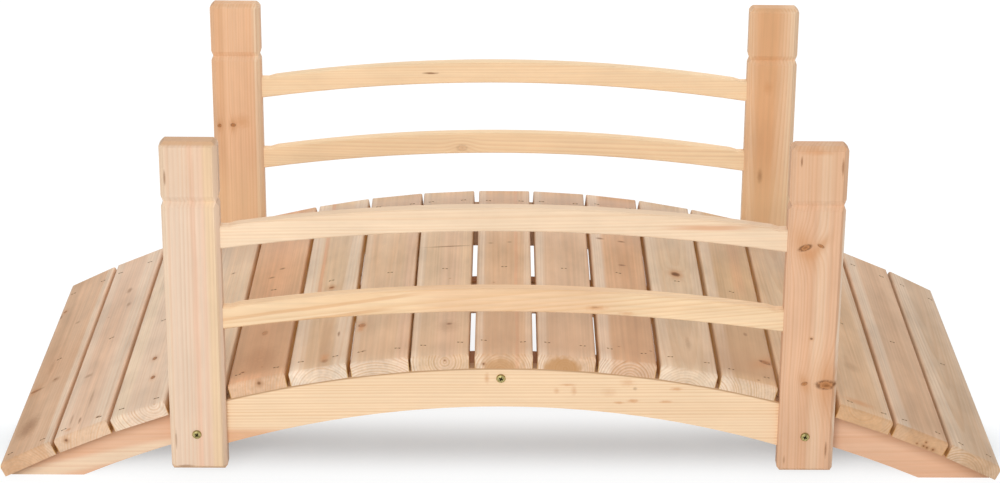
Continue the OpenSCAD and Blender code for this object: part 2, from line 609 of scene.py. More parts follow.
@dataclass
class Coat:
    """The colour of one board's wood, built up in layers."""

    g: Graph
    at: Place
    fray: Wire
    colour: Wire
    figure: KnotFigure = KnotFigure()
    face_fray: float = 0.9
    end_fray: float = 0.6
    end_depths: tuple[float, float] = (4.0 * MM, 9.0 * MM)
    stripe_edge: tuple[float, float] = (0.45, 1.35)
    faintest_smudge: float = 0.3

    def lay(self, share: Number, over: Union[Colour, Wire]) -> None:
        """Blend a colour over the wood so far."""
        self.colour = self.g.mix(share, self.colour, over)

    def tint(self, tint: Tint) -> None:
        """Lay a tone over its part of the board."""
        self.lay(tint.reach(self.at) * tint.share, tint.colour)

    def stripe(self, stripe: Stripe, waver: Wire) -> None:
        """Lay one lengthwise band.

        Args:
            stripe: The band.
            waver: Noise that makes its edges uneven.
        """
        u, v, _ = self.at
        middle = u * (stripe.drift * MM) + stripe.across * MM
        width = (u * stripe.taper + 1.0) * (stripe.half_width * MM)
        away = abs(v - middle + (waver - 0.5) * (stripe.waver * MM)) / width
        share = away.fall(*self.stripe_edge) * stripe.share
        if stripe.start > -BEYOND:
            share = share * u.rise((stripe.start - stripe.blend) * MM, (stripe.start + stripe.blend) * MM)
        if stripe.end < BEYOND:
            share = share * u.fall((stripe.end - stripe.blend) * MM, (stripe.end + stripe.blend) * MM)
        self.lay(share, stripe.colour)

    def layers(self, mark: Mark, away: Wire, within: Number = 1.0) -> None:
        """Lay the tones of one mark.

        Args:
            mark: The mark.
            away: Distance from its middle, in shares of its radius.
            within: How much of it may show, from 0 to 1.
        """
        for layer in MARK_LAYERS[mark.kind]:
            share = away.fall(layer.full, layer.none) * within
            self.lay(share * (layer.share * mark.depth), layer.colour)

    def end_mark(self, mark: Mark, half_length: float) -> None:
        """Lay one spot or heart on the near sawn end.

        Args:
            mark: The spot or heart.
            half_length: Half of the board's length, in metres.
        """
        u, v, w = self.at
        dv = (v - mark.across * MM) / (mark.radius * MM * mark.stretch)
        dw = (w - mark.along * MM) / (mark.radius * MM)
        away = (dv * dv + dw * dw) ** 0.5 + (self.fray - 0.5) * self.end_fray
        self.layers(mark, away, u.fall(*(depth - half_length for depth in self.end_depths)))

    def face_mark(self, mark: Mark) -> None:
        """Lay one knot or stain on the face.

        Args:
            mark: The knot or stain.
        """
        du, dv = self.at.along - mark.along * MM, self.at.across - mark.across * MM
        if mark.tilt:
            cosine, sine = math.cos(mark.tilt), math.sin(mark.tilt)
            du, dv = du * cosine + dv * sine, dv * cosine - du * sine
        du, dv = du / (mark.radius * MM * mark.stretch), dv / (mark.radius * MM)
        away = (du * du + dv * dv) ** 0.5 + (self.fray - 0.5) * self.face_fray
        if mark.kind is MarkKind.KNOT:
            self.knot(mark, dv, away)
        elif mark.kind is MarkKind.SMUDGE:
            self.layers(mark, away, self.fray + self.faintest_smudge)
        else:
            self.layers(mark, away)

    def knot(self, mark: Mark, across: Wire, away: Wire) -> None:
        """Lay one knot: a halo drawn out along the grain, rings, a broken rim and a dark heart.

        Args:
            mark: The knot.
            across: Distance from its middle across the grain, in shares of its radius.
            away: Distance from its middle, in shares of its radius.
        """
        figure = self.figure
        along = (self.at.along - mark.along * MM) / (mark.radius * MM * figure.tail_length)
        tail = (-(along * along + across * across * figure.tail_narrowing)).exp()
        self.lay(tail * (figure.tail_share * mark.depth), KNOT_HALO)
        core = self.g.mix((away * figure.rings).sine() * 0.25 + 0.3, KNOT_CORE, KNOT_HALO)
        self.lay(away.fall(0.6, 1.2) * (figure.core_share * mark.depth), core)
        rim = away.rise(0.5, 0.95) * away.fall(0.95, 1.4) * self.fray.rise(0.35, 0.6)
        self.lay(rim * (figure.rim_share * mark.depth), KNOT_RIM)
        self.lay(away.fall(0.0, 0.42) * (figure.heart_share * mark.depth), KNOT_RIM)


@dataclass
class Board:
    """One sawn board: a CAD node with its own wood material."""

    node: str
    grain: Grain
    look: BoardLook
    centre: Vector
    half_length: float
    turn: float = 0.0
    figure: KnotFigure = KnotFigure()
    rings: RingFigure = RingFigure()
    end_skin: tuple[float, float] = (6.5 * MM, 2.5 * MM)

    def local(self, g: Graph) -> Place:
        """Where the shaded point lies in this board.

        Args:
            g: The material being filled.

        Returns:
            The point.
        """
        inputs = {"Vector": g.place(), "Location": tuple(self.centre), "Rotation": (0.0, self.turn, 0.0)}
        own = g.node("ShaderNodeMapping", {"vector_type": "TEXTURE"}, inputs)
        axes = g.split(own)
        return Place(*(axes[axis] for axis in self.grain.value))

    def ring_field(self, g: Graph, at: Place) -> Wire:
        """Distance from the pith in metres, pushed aside by knots and slow bends of the log.

        Args:
            g: The material being filled.
            at: The point.

        Returns:
            The distance.
        """
        u, v, w = at
        cut = self.look.cut
        bend_v, bend_w, _ = g.split(BEND.read(g, at, cut.seed, "Color"))
        wander = cut.wander * MM
        dv = v + (bend_v - 0.5) * wander - (cut.pith_across * MM + u * (cut.drift_across * MM))
        dw = w + (bend_w - 0.5) * wander - (cut.pith_deep * MM + u * (cut.drift_deep * MM))
        radius = (dv * dv + dw * dw) ** 0.5
        for mark in self.look.marks:
            if mark.kind is MarkKind.KNOT:
                reach = mark.radius * MM * self.figure.push_width
                du = (u - mark.along * MM) / (reach * self.figure.push_length)
                da = (v - mark.across * MM) / reach
                radius = radius + (-(du * du + da * da)).exp() * (mark.radius * MM * self.figure.push)
        return radius

    def late_wood(self, g: Graph, radius: Wire) -> Wire:
        """Dark summer wood of each ring, uneven from ring to ring.

        Args:
            g: The material being filled.
            radius: Distance from the pith.

        Returns:
            The share of summer wood, from 0 to 1.
        """
        ring, seed = self.look.timber.ring * MM, self.look.cut.seed
        rings = self.rings
        uneven = g.noise(g.point(radius / (ring * rings.wave), 0.0, 0.0), seed + rings.offset, 1.0)
        turns = radius / ring + (uneven - 0.5) * rings.shift
        count = turns.floor()
        part = turns - count
        settings = {"noise_dimensions": "1D"}
        chance = g.node("ShaderNodeTexWhiteNoise", settings, {"W": count + seed}, "Value")
        band = part.rise(0.2, 0.86) * part.fall(0.88, 1.0)
        return band * (chance * (1.0 - rings.faintest) + rings.faintest)

    def material(self) -> bpy.types.Material:
        """Make this board's wood.

        Returns:
            The material.
        """
        t, seed = self.look.timber, self.look.cut.seed
        g = Graph(f"wood_{self.node}")
        at = self.local(g)
        late = self.late_wood(g, self.ring_field(g, at))
        sizes = (BLOTCH, BAND, STREAK, FIBRE, FRAY)
        blotch, band, streak, fibre, fray = (size.read(g, at, seed) for size in sizes)
        coat = Coat(g, at, fray, g.mix(band.rise(0.36, 0.64) * t.bands, t.base, t.warm()))
        for stripe in self.look.stripes:
            coat.stripe(stripe, blotch)
        sawn_end = abs(at.along).rise(*(self.half_length - skin for skin in self.end_skin))
        coat.lay(sawn_end * t.end_share, t.end_tone)
        coat.lay(late * (sawn_end * t.ends + t.contrast), t.late())
        shade = (streak - 0.5) * t.streak + (fibre - 0.5) * t.fibre + (blotch - 0.5) * t.blotch + 1.0
        coat.colour = g.scale(coat.colour, shade)
        for tint in [tint for tint in self.look.tints if isinstance(tint, Fade)]:
            coat.tint(tint)
        for mark in self.look.marks:
            if mark.kind in (MarkKind.END_SPOT, MarkKind.END_HEART):
                coat.end_mark(mark, self.half_length)
            else:
                coat.face_mark(mark)
        for tint in [tint for tint in self.look.tints if not isinstance(tint, Fade)]:
            coat.tint(tint)
        height = fibre * 0.5 + streak * 0.3 - late * 0.25
        inputs = {
            "Base Color": coat.colour,
            "Roughness": (fibre - 0.5) * 0.16 + late * -0.08 + t.roughness,
            "Specular IOR Level": t.sheen,
            "Normal": g.bump(height, t.relief, 0.35),
        }
        return g.surface(g.node("ShaderNodeBsdfPrincipled", {}, inputs, "BSDF"))

    def dress(self, nodes: dict[str, bpy.types.Object]) -> None:
        """Give the CAD node this board's wood.

        Args:
            nodes: The CAD nodes by name.
        """
        mesh = nodes[self.node].data
        mesh.materials.clear()
        mesh.materials.append(self.material())
        LOG.info("dressed %s", self.node)


def whole_board(node: str, grain: Grain, look: BoardLook) -> Board:
    """Make a board that is centred on its node's box.

    Args:
        node: The CAD node.
        grain: Which way its grain runs.
        look: Its wood.

    Returns:
        The board.
    """
    low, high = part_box(node)
    return Board(node, grain, look, (low + high) / 2, (high - low)[grain.value[0]] / 2)


@dataclass(frozen=True)
class MetalFinish:
    """A plated steel finish."""

    name: str
    colour: Colour
    tint: Colour
    roughness: float
    cloud_scale: float = 420.0
    cloud_seed: float = 2.0

    def material(self) -> bpy.types.Material:
        """Make the metal, with faint stains in its plating.

        Returns:
            The material.
        """
        g = Graph(self.name)
        cloud = g.noise(g.scale(g.place(), self.cloud_scale), self.cloud_seed, 3.0)
        inputs = {
            "Base Color": g.mix(cloud.rise(0.35, 0.7), self.colour, self.tint),
            "Metallic": 1.0,
            "Roughness": (cloud - 0.5) * 0.2 + self.roughness,
        }
        return g.surface(g.node("ShaderNodeBsdfPrincipled", {}, inputs, "BSDF"))


def to_mesh(name: str, bm: bmesh.types.BMesh) -> bpy.types.Mesh:
    """Turn a bmesh into a mesh.

    Args:
        name: Name of the mesh.
        bm: The shape. It is freed.

    Returns:
        The mesh.
    """
    mesh = bpy.data.meshes.new(name)
    bm.to_mesh(mesh)
    bm.free()
    return mesh


def put(name: str, data: bpy.types.ID) -> bpy.types.Object:
    """Put an object into the scene.

    Args:
        name: Name of the object.
        data: Its mesh, lamp or camera.

    Returns:
        The object.
    """
    made = bpy.data.objects.new(name, data)
    bpy.context.scene.collection.objects.link(made)
    return made


def finish_piece(name: str, bm: bmesh.types.BMesh, finishes: list[bpy.types.Material]) -> None:
    """Turn a bmesh into a piece that rides on the bridge.

    Args:
        name: Name of the piece.
        bm: The shape, in the bridge's frame. It is freed.
        finishes: Materials of the piece, in the order of its faces' numbers.
    """
    mesh = to_mesh(name, bm)
    for finish in finishes:
        mesh.materials.append(finish)
    piece = put(name, mesh)
    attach(piece, BODY)
    LOG.info("made %s with %d faces", name, len(mesh.polygons))


@dataclass
class Staple:
    """Wire staple whose crown lies on a plank, its bends painted dark as shade where they enter the wood."""

    crown: float = 3.4 * MM
    bend: float = 2.6 * MM
    wire: float = 2.0 * MM
    proud: float = 0.25 * MM
    leg: float = 2.4 * MM
    bright: MetalFinish = MetalFinish("staple_crown", srgb("#CDB08C"), srgb("#B08F68"), 0.5)
    # Painted shade: a dark finish on the bends, for the holes where the legs go into the wood.
    dark: MetalFinish = MetalFinish("staple_bend_shade", srgb("#5E4327"), srgb("#80603C"), 0.65)

    def shape(self) -> bpy.types.Mesh:
        """Bend one staple: a crown of flat wire whose two ends turn down into the wood.

        Returns:
            The staple, with its crown on the XY plane.
        """
        bm = bmesh.new()
        lift = Matrix.Translation((0.0, 0.0, self.proud - self.wire / 2))
        sizes = Matrix.Diagonal((self.crown, self.wire, self.wire, 1.0))
        bmesh.ops.create_cube(bm, size=1.0, matrix=lift @ sizes)
        bm.normal_update()
        ends = [face for face in bm.faces if abs(face.normal.x) > 0.9]
        for drop in (self.proud * 0.4, self.leg):
            ends = bmesh.ops.extrude_discrete_faces(bm, faces=ends)["faces"]
            for face in ends:
                outward = math.copysign(self.bend, face.calc_center_median().x)
                bmesh.ops.translate(bm, verts=face.verts, vec=(outward, 0.0, -drop))
        for face in bm.faces:
            # Faces at the crown's ends take the dark painted-shade finish.
            face.material_index = int(abs(face.calc_center_median().x) > self.crown / 2 - 0.1 * MM)
        return to_mesh("staple_blank", bm)


@dataclass
class Screw:
    """Pan-head screw with a cross recess."""

    radius: float = 6.9 * MM
    height: float = 3.4 * MM
    slot_length: float = 8.0 * MM
    slot_width: float = 2.6 * MM
    slot_depth: float = 2.6 * MM
    slot_taper: float = 0.55
    rings: tuple[tuple[float, float], ...] = (
        (0.0, 0.0), (1.0, 0.0), (1.0, 0.35), (0.86, 0.78), (0.5, 0.97), (0.0, 1.0),
    )
    finish: MetalFinish = MetalFinish("zinc_yellow", srgb("#C2B47C"), srgb("#857848"), 0.24)
    # Painted shade: a dark finish inside the cross recess.
    recess_shade: MetalFinish = MetalFinish("screw_recess_painted_shade", srgb("#5A4A2C"), srgb("#3A3020"), 0.6)

    def head(self) -> bmesh.types.BMesh:
        """Round the head as a low dome.

        Returns:
            The head on the XY plane, facing +Z.
        """
        bm = bmesh.new()
        chain = [bm.verts.new((r * self.radius, 0.0, h * self.height)) for r, h in self.rings]
        edges = [bm.edges.new(pair) for pair in zip(chain, chain[1:])]
        bmesh.ops.spin(
            bm, geom=chain + edges, cent=(0, 0, 0), axis=(0, 0, 1), dvec=(0, 0, 0),
            angle=math.tau, steps=32, use_merge=True,
        )
        bmesh.ops.remove_doubles(bm, verts=bm.verts, dist=0.01 * MM)
        bmesh.ops.recalc_face_normals(bm, faces=bm.faces)
        return bm

    def recess(self) -> bmesh.types.BMesh:
        """Shape the cross-shaped cutter, which narrows downwards as a driver's tip does.

        Returns:
            The cutter, at the head's top.
        """
        bm = bmesh.new()
        for turn in (0.0, math.pi / 2):
            sizes = Matrix.Diagonal((self.slot_length, self.slot_width, self.slot_depth * 2, 1.0))
            spin = Matrix.Rotation(turn, 4, "Z") @ Matrix.Translation((0, 0, self.height)) @ sizes
            arm = bmesh.ops.create_cube(bm, size=1.0, matrix=spin)["verts"]
            low = [v for v in arm if v.co.z < self.height]
            bmesh.ops.scale(bm, vec=(self.slot_taper, self.slot_taper, 1.0), verts=low)
        return bm

    def in_recess(self, middle: Vector) -> bool:
        """Whether a face with this middle lies inside the recess."""
        return math.hypot(middle.x, middle.y) < 0.6 * self.radius and middle.z < 0.9 * self.height

    def shape(self) -> bpy.types.Mesh:
        """Cut the recess out of the head.

        Returns:
            The head on the XY plane, facing +Z.
        """
        head = put("screw_head_blank", to_mesh("screw_head_blank", self.head()))
        cutter = put("screw_recess", to_mesh("screw_recess", self.recess()))
        cut = head.modifiers.new("recess", "BOOLEAN")
        cut.operation = "DIFFERENCE"
        cut.solver = "EXACT"
        cut.use_self = True
        cut.object = cutter
        bpy.context.view_layer.update()
        shaped = bpy.data.meshes.new_from_object(head.evaluated_get(bpy.context.evaluated_depsgraph_get()))
        bpy.data.objects.remove(head)
        bpy.data.objects.remove(cutter)
        return shaped


PALE = srgb("#EED7BE")
CREAM = srgb("#F3DDBF")
SALMON = srgb("#DFA27A")
DUSK = srgb("#C39A76")
AMBER = srgb("#D79A63")
ROSE = srgb("#EABFA2")
PALE_END = srgb("#F2DDC8")
BROWN_END = srgb("#CB9C70")
TAN_END = srgb("#DCB999")
# Painted shade: warm tones laid on the walls of the gaps between planks, paler in some gaps.
GAP_SHADE_BROWN = srgb("#E2AC5E")
GAP_SHADE_AMBER = srgb("#F9CB78")
# Painted shade: a dim brown out by the plank ends in the gaps, and under the planks on the beams.
DIM_SHADE_BROWN = srgb("#94613A")
# Painted shade towards the planks' near ends and painted light towards their far ends.
NEAR_SHADE = srgb("#B98F6B")
FAR_LIGHT = srgb("#EBD6C6")


@dataclass(frozen=True)
class PlankLook:
    """Wood of one deck plank."""

    tone: str
    cut: Cut
    stripes: tuple[Stripe, ...] = ()
    marks: tuple[Mark, ...] = ()
    contrast: float = 0.26
    ends: float = 0.3
    end_share: float = 0.45
    end_tone: Colour = PALE_END
    # Shares of the painted shade at the near end and the painted light at the far end.
    near: float = 0.24
    far: float = 0.36
    crispness: float = 1.35
    streak: float = 0.4
    blotch: float = 0.6

    def timber(self) -> Timber:
        """Make the plank's timber.

        Returns:
            The timber.
        """
        return Timber(
            srgb(self.tone), contrast=self.contrast * self.crispness, streak=self.streak, blotch=self.blotch,
            ends=self.ends, end_tone=self.end_tone, end_share=self.end_share,
        )

    def fades(self) -> tuple[Tint, ...]:
        """Painted shade that comes in towards the plank's near end, and painted light towards its far end."""
        near = Fade(NEAR_SHADE, self.near, start=60.0, end=-300.0, limit=352.0)
        return near, Fade(FAR_LIGHT, self.far, start=40.0, end=330.0, limit=352.0)


PLANK_LOOKS: dict[int, PlankLook] = {
    1: PlankLook(
        "#E4BD9B", Cut(-22, -26, 10, 18, 9, 3.1), (Stripe(38, 6, PALE, 0.7), Stripe(-26, 13, DUSK, 0.35)),
        (knot(224, -31, 2.8, 1.2), smudge(206, -36, 4, 3.0, 0.6), smudge(-105, -24, 13, 0.45, 0.9),
         knot(-106, -29, 6.0, 0.6, 0.9, 0.3), pin(-90, 6, 3.0, 0.7), smudge(-92, 8, 9, 1.2, 0.4),
         smudge(-256, -10, 18, 2.6, 0.6), smudge(140, 7, 5, 1.2, 0.5), smudge(-30, -12, 6, 6.0, 0.35),
         stain(-20, 4, 55, 2.2, 0.28)),
        end_share=0.35, end_tone=BROWN_END, near=0.04, far=0.05,
    ),
    2: PlankLook(
        "#ECC9AC", Cut(80, -50, 12, 10, 9, 5.7), (Stripe(30, 13, PALE, 0.7), Stripe(-34, 8, PALE, 0.5)),
        (smudge(194, 3, 6, 2.2, 0.6), smudge(126, 11, 5, 2.4, 0.5), pin(99, -21, 2.2, 0.4),
         smudge(-139, -20, 8, 0.9, 0.5), smudge(-314, -6, 2.4, 6.0, 0.8), smudge(-300, -22, 2.2, 12.0, 0.5),
         smudge(-240, 2, 3, 12.0, 0.35), smudge(-20, 0, 52, 2.6, 0.1), pin(-327, 26, 3.2, 0.9),
         stain(-334, -22, 7.0), spot(7, -25, 3.6)),
        end_share=0.8, end_tone=TAN_END, near=0.06, far=0.15,
    ),
    3: PlankLook(
        "#EFD3B9", Cut(24, 6, -10, 14, 8, 7.3), (Stripe(-30, 12, CREAM, 0.6), Stripe(37, 7, PALE, 0.6)),
        (knot(-165, 4, 3.4, 1.5), knot(-242, 11, 3.4, 1.5)), ends=0.55, end_share=0.25, near=0.06, far=0.2,
    ),
    4: PlankLook("#F6D9B9", Cut(60, -40, 8, 6, 8, 9.9), (Stripe(-20, 18, PALE, 0.4),), (pin(115, 12, 2.8),)),
    5: PlankLook(
        "#E9BB93", Cut(90, -30, 8, 8, 7, 11.3), (Stripe(0, 28, SALMON, 0.3),),
        (knot(-180, -1, 4.2, 1.8, 0.5), smudge(53, -10, 6, 0.7, 0.8), smudge(84, 6, 6, 0.7, 0.8),
         smudge(-282, 0, 30, 2.0, 0.3), pin(-318, -23, 3.0, 0.9), pin(-312, 6, 1.8, 0.7), spot(7, 3.4, 4.6)),
        end_share=0.7, end_tone=TAN_END, near=0.58,
    ),
    6: PlankLook(
        "#E7C8A5", Cut(4, -34, 6, 16, 9, 13.9),
        (Stripe(-34, 13, PALE, 0.8), Stripe(33, 12, PALE, 0.75), Stripe(-16, 3.4, SALMON, 0.65, start=-130),
         Stripe(8, 9, DUSK, 0.5, end=-160)),
        (knot(-39, 3, 3.8), pin(-39, 3, 2.6, 0.8), smudge(-331, 10, 6, 1.3, 0.7), stain(-318, 9, 9, 2.2, 0.9),
         smudge(-234, 26, 2.4, 5.0, 0.8)),
        ends=0.25, end_share=0.55, near=0.26,
    ),
    7: PlankLook(
        "#E5C3A0", Cut(-10, -78, 8, 10, 8, 15.1), (Stripe(34, 9, ROSE, 0.45), Stripe(-38, 6, PALE, 0.4)),
        (knot(-213, -32, 5.4, 1.2, 0.9), stain(-226, -34, 6, 3.0), smudge(-312, -24, 4, 1.0, 0.5)),
        0.22, 0.45, 0.45,
    ),
    8: PlankLook(
        "#E0BF9C", Cut(7.4, -6.7, 0, 8, 4, 17.7), (Stripe(-39, 7, PALE, 0.65), Stripe(10, 18, ROSE, 0.3)),
        (smudge(-233, 12, 5, 0.9, 0.9), smudge(92, 4, 42, 0.07, 0.8), pin(-48, 9.5, 1.8, 0.7),
         smudge(-242, 10, 20, 1.4, 0.3), spot(6.7, 7.4, 1.8)),
        0.2, 0.6, 0.1,
    ),
    9: PlankLook(
        "#DEB690", Cut(-3, -24, 5, 9, 8, 19.3),
        (Stripe(-37, 7, PALE, 0.6), Stripe(20, 3.0, SALMON, 0.5), Stripe(38, 6, PALE, 0.4)),
        (smudge(102, -22, 5, 0.5, 0.8), smudge(107, 9, 5, 0.5, 0.8), pin(-69, -16, 1.8, 0.7),
         heart(24, -5, 19, 1.3), spot(14.6, -29.9, 2.4)),
        0.28, 0.45, 0.1,
    ),
    10: PlankLook(
        "#DEB997", Cut(2, -17, 6, 7, 7, 21.9), (Stripe(-37, 8, PALE, 0.6),), (heart(20, -6, 19, 1.6, 1.35),),
        0.22, 0.5, 0.1, near=0.34,
    ),
    11: PlankLook(
        "#D9AB83", Cut(9, -25, 8, 10, 8, 23.3), (Stripe(-34, 11, PALE, 0.8),),
        (smudge(145, -27, 8, 0.6, 0.9), smudge(141, 9, 7, 0.6, 0.9), smudge(35, 6, 7, 0.6, 0.9),
         pin(-301, -12, 2.4, 0.6), pin(-305, 36, 2.4, 0.6)),
        0.28, 0.55, 0.3, near=0.36,
    ),
    12: PlankLook(
        "#DEC1A0", Cut(2, -30, 4, 30, 9, 25.7), (Stripe(-34, 10, PALE, 0.4), Stripe(34, 8, PALE, 0.4)),
        (knot(28, 1.3, 6.6, 1.3), Mark(28, 1.3, 7.0, MarkKind.PIN_KNOT, 1.1), smudge(-252, 4, 5, 6.0, 0.35)),
        0.36, 0.2, 0.35,
    ),
    13: PlankLook(
        "#DDB88F", Cut(-50, -30, 10, 10, 8, 27.1),
        (Stripe(-34, 10, PALE, 0.6), Stripe(16, 10, SALMON, 0.35, start=0)),
        (smudge(-40, 29, 15, 0.5, 1.0), smudge(-267, 32, 12, 0.7, 1.0), pin(-342, 14, 2.0, 0.8),
         knot(-269, 31, 9.0, 0.45, 0.9, 0.5), smudge(-172, 8, 4, 2.0, 0.6)),
        end_share=0.45, near=0.6,
    ),
    14: PlankLook("#E3C19C", Cut(0, -36, 4, 34, 9, 29.9), (), (), 0.34),
    15: PlankLook(
        "#E1BD98", Cut(-8, 20, 4, 30, 9, 31.3), (Stripe(36, 8, PALE, 0.4),),
        (smudge(-185, -4, 15, 1.3, 0.25), stain(-322, -8, 30, 0.4, 0.9)),
        0.32, 0.55, 0.6, BROWN_END, 0.1, 0.2,
    ),
    16: PlankLook(
        "#DCB796", Cut(40, -40, 8, 14, 8, 33.7), (Stripe(-32, 11, PALE, 0.65),),
        (spot(18, 9, 2.6), spot(18.5, 15, 2.4), spot(18, 25, 2.6), spot(11, 10, 2.0), spot(18, -2, 1.8)),
        0.3, 0.3, 0.7, BROWN_END, 0.24, 0.05,
    ),
    17: PlankLook(
        "#D5B697", Cut(-8, -30, 4, 26, 9, 35.1), (Stripe(-30, 12, PALE, 0.5), Stripe(34, 9, PALE, 0.3)), (),
        0.34, 0.5, 0.3, BROWN_END, 0.05, 0.1,
    ),
}


@dataclass
class Deck:
    """The arched plank deck."""

    count: int = 17
    radius: float = 1645.0 * MM
    pitch: float = 92.8 * MM
    plank_width: float = 86.5 * MM
    thickness: float = 22.0 * MM
    far_row: float = 304.0 * MM
    middle_row: float = -5.0 * MM
    near_row: float = -304.0 * MM
    near_spread: float = -27.0 * MM
    spread_planks: int = 6
    staple_across: float = 27.5 * MM
    loose_across: float = 3.0
    loose_along: float = 4.0
    loose_turn: float = 0.3
    staple_seed: int = 11
    slips: dict[int, float] = field(default_factory=lambda: {8: -2.5 * MM, 10: 1.2 * MM})
    # Gaps whose walls get the paler painted shade.
    pale_shade_gaps: tuple[int, ...] = (5, 6, 7, 11, 13, 14)
    wall_depth: float = 16.0 * MM
    dim_from: float = 322.0 * MM
    staple: Staple = field(default_factory=Staple)

    def angle(self, number: int) -> float:
        """Turn of one plank about the bridge's cross axis."""
        return (number - (self.count + 1) / 2) * self.pitch / self.radius

    def centre_height(self) -> float:
        """Height of the middle of the deck's circle, which lies below the ground."""
        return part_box(f"plank_{(self.count + 1) // 2:02d}")[1].z - self.radius

    def place(self, number: int) -> Matrix:
        """Where the middle of a plank's top face lies, with its turn.

        Args:
            number: Which plank, from the left.

        Returns:
            The placing matrix.
        """
        centre = Matrix.Translation((0.0, 0.0, self.centre_height()))
        turn = Matrix.Rotation(self.angle(number), 4, "Y")
        return centre @ turn @ Matrix.Translation((self.slips.get(number, 0.0), 0.0, self.radius))

    def walls(self, number: int) -> tuple[Tint, ...]:
        """Painted shade on the gap walls beside one plank, darker out by its ends.

        Args:
            number: Which plank, from the left.

        Returns:
            The tones.
        """
        sides = (self.plank_width / 2 / MM, self.wall_depth / MM, number > 1, number < self.count)
        # Painted shade on the gap walls: a warm tone deep down, and a dim one out by the plank's ends.
        gap = GAP_SHADE_AMBER if number in self.pale_shade_gaps else GAP_SHADE_BROWN
        return GapShade(gap, 0.85, *sides), GapShade(DIM_SHADE_BROWN, 0.5, *sides, self.dim_from / MM)

    def boards(self) -> list[Board]:
        """Planks from left to right, each from its own log.

        Returns:
            The boards.
        """
        made = []
        for number, plank in PLANK_LOOKS.items():
            node = f"plank_{number:02d}"
            tints = (*plank.fades(), *self.walls(number))
            look = BoardLook(plank.timber(), plank.cut, plank.stripes, plank.marks, tints)
            place, half_length = self.place(number).translation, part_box(node)[1].y
            made.append(Board(node, Grain.ALONG_Y, look, place, half_length, self.angle(number)))
        return made

    def staple_spots(self, number: int) -> list[tuple[float, float]]:
        """Where one plank is stapled: two staples over each side beam, one over the middle beam.

        Args:
            number: Which plank, from the left.

        Returns:
            Places across and along the plank, in metres.
        """
        outward = min(1.0, abs(number - (self.count + 1) / 2) / self.spread_planks)
        near = self.near_row + self.near_spread * outward
        sides = (-self.staple_across, self.staple_across)
        return [*((side, row) for row in (near, self.far_row) for side in sides), (0.0, self.middle_row)]

    def fix(self) -> None:
        """Staple every plank to its beams."""
        chance = random.Random(self.staple_seed)
        shape = self.staple.shape()
        bm = bmesh.new()
        for number in range(1, self.count + 1):
            for across, along in self.staple_spots(number):
                slip_across = chance.uniform(-self.loose_across, self.loose_across)
                slip_along = chance.uniform(-self.loose_along, self.loose_along)
                slip = Vector((slip_across, slip_along, 0.0)) * MM
                shift = Matrix.Translation(Vector((across, along, 0.0)) + slip)
                twist = Matrix.Rotation(chance.uniform(-self.loose_turn, self.loose_turn), 4, "Z")
                before = len(bm.verts)
                bm.from_mesh(shape)
                bm.verts.ensure_lookup_table()
                bmesh.ops.transform(bm, matrix=self.place(number) @ shift @ twist, verts=bm.verts[before:])
        finish_piece("plank_staples", bm, [self.staple.bright.material(), self.staple.dark.material()])


def screw_place(node: str, x: float, z: float) -> Matrix:
    """Turn a shape that faces +Z so that it faces outwards on the outer face of a board or post.

    Args:
        node: The CAD node, named for the front or the back.
        x: Place along the bridge.
        z: Height.

    Returns:
        The placing matrix.
    """
    low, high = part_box(node)
    outward, face = (-1, low.y) if node.startswith("front") else (1, high.y)
    return Matrix.Translation((x, face, z)) @ Matrix.Rotation(-outward * math.pi / 2, 4, "X")


BEAM_PINE = Timber(srgb("#E9BC9B"), 6.0, 0.3, 0.5, 0.16, 0.14)
BOARD_PINE = Timber(srgb("#F7D7B2"), 4.8, 0.72, 0.2, 0.1, 0.14)
# Painted shadow: a dark line right under the planks, on the beams' faces and tops.
SHADE_BROWN = srgb("#A2652A")
# Painted contact shadow: a thin dark line on the facing boards right under the plank ends.
CONTACT_SHADOW_BROWN = srgb("#9C6836")


